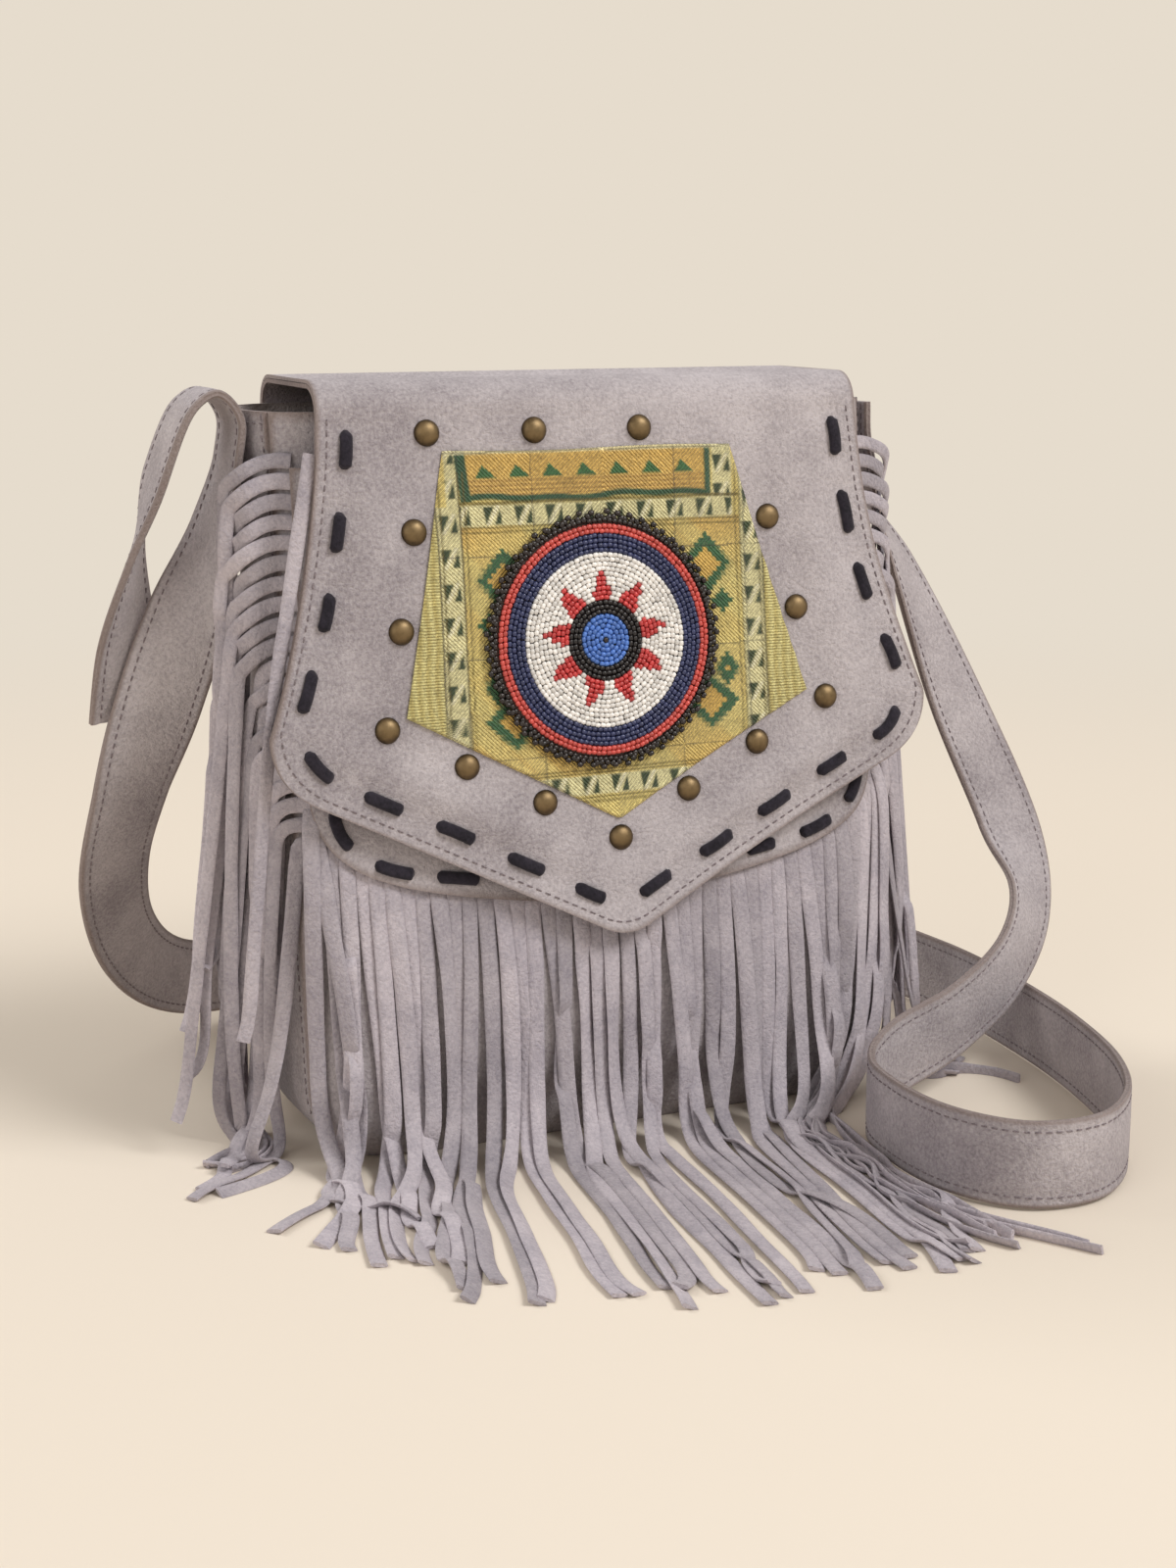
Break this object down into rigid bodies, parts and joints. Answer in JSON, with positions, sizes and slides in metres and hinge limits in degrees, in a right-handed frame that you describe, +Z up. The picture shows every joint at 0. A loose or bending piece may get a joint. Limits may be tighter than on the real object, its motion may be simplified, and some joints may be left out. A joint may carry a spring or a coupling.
{
  "type": "fringe crossbody bag",
  "caption": "Suede crossbody bag with a laced, hinged flap, an embroidered patch with a bead medallion, domed studs, cut fringes and a long shoulder strap.",
  "frame": {"origin": "centre of the bag's flat base, on the ground", "axes": "+Z up, -Y towards the viewer of the flap, +X to the right of someone who looks at the flap"},
  "size_m": [0.3734, 0.3503, 0.2667],
  "materials": {
    "suede": "napped grey suede",
    "suede_facing": "napped grey suede, the flap's inner side",
    "lace": "black suede lace",
    "cotton": "plain woven cotton",
    "embroidery": "dense mustard and green embroidery",
    "felt": "dark felt",
    "bead_blue": "opaque glass seed beads",
    "bead_black": "opaque glass seed beads",
    "bead_red": "opaque glass seed beads",
    "bead_white": "opaque glass seed beads",
    "bead_navy": "opaque glass seed beads",
    "brass": "antique brass"
  },
  "bodies": {
    "bag": {"front_panel": "suede", "back_panel": "suede", "gusset": "suede", "lining": "cotton", "front_yoke": "suede", "yoke_lace": "lace", "snap_socket": "brass", "fringe_front": "suede", "fringe_left": "suede", "fringe_right": "suede", "strap": "suede"},
    "flap": {"flap": "suede", "flap_lining": "suede_facing", "flap_lace": "lace", "embroidered_patch": "embroidery", "medallion_backing": "felt", "beads_blue_centre": "bead_blue", "beads_black_ring": "bead_black", "beads_red_star": "bead_red", "beads_white_field": "bead_white", "beads_navy_band": "bead_navy", "beads_red_band": "bead_red", "bead_picot_edge": "bead_black", "snap_stud": "brass", "stud_01": "brass", "stud_02": "brass", "stud_03": "brass", "stud_04": "brass", "stud_05": "brass", "stud_06": "brass", "stud_07": "brass", "stud_08": "brass", "stud_09": "brass", "stud_10": "brass", "stud_11": "brass", "stud_12": "brass", "stud_13": "brass", "stud_14": "brass"}
  },
  "joints": [
    {"name": "flap_hinge", "type": "hinge", "parent": "bag", "child": "flap", "pos_m": [0, 0.04041, 0.2627], "axis": [-1, 0, 0], "range_deg": [0, 160]}
  ]
}
